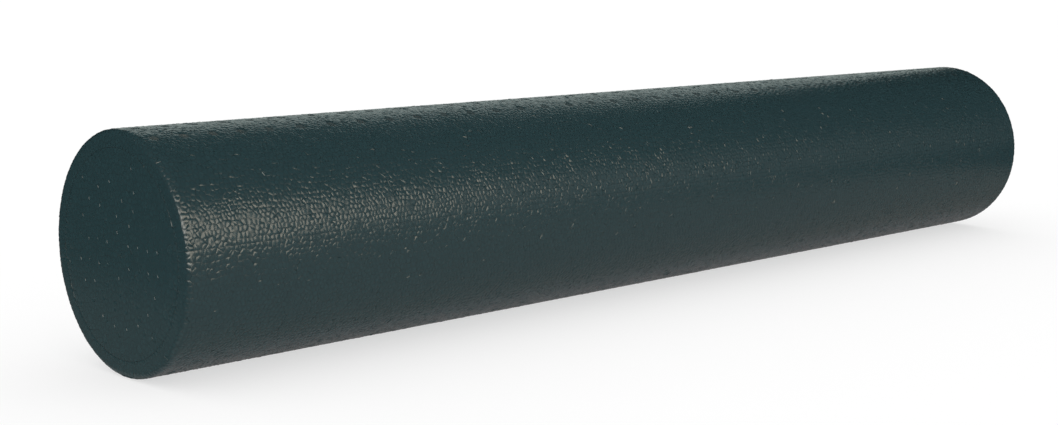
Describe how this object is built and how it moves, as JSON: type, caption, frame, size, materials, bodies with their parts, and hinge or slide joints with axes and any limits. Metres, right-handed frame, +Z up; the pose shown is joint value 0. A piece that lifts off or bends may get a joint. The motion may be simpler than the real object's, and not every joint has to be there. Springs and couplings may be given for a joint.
{
  "type": "foam roller",
  "caption": "Long solid foam roller with a pebbled moulded skin, rounded rims and flat ends, for massage and exercise.",
  "frame": {"origin": "centre of the roller, on its axis and halfway along it", "axes": "+X along the roller's axis, towards the right end, +Z up, and -Y towards the front"},
  "size_m": [0.9144, 0.1522, 0.1524],
  "materials": {
    "moulded_skin": "satin, pebbled by the beads",
    "bead_foam": "matte foam"
  },
  "bodies": {
    "root": {"bead_core": "bead_foam", "upper_barrel_skin": "moulded_skin", "lower_barrel_skin": "moulded_skin", "left_end_skin": "moulded_skin", "right_end_skin": "moulded_skin"}
  },
  "joints": []
}
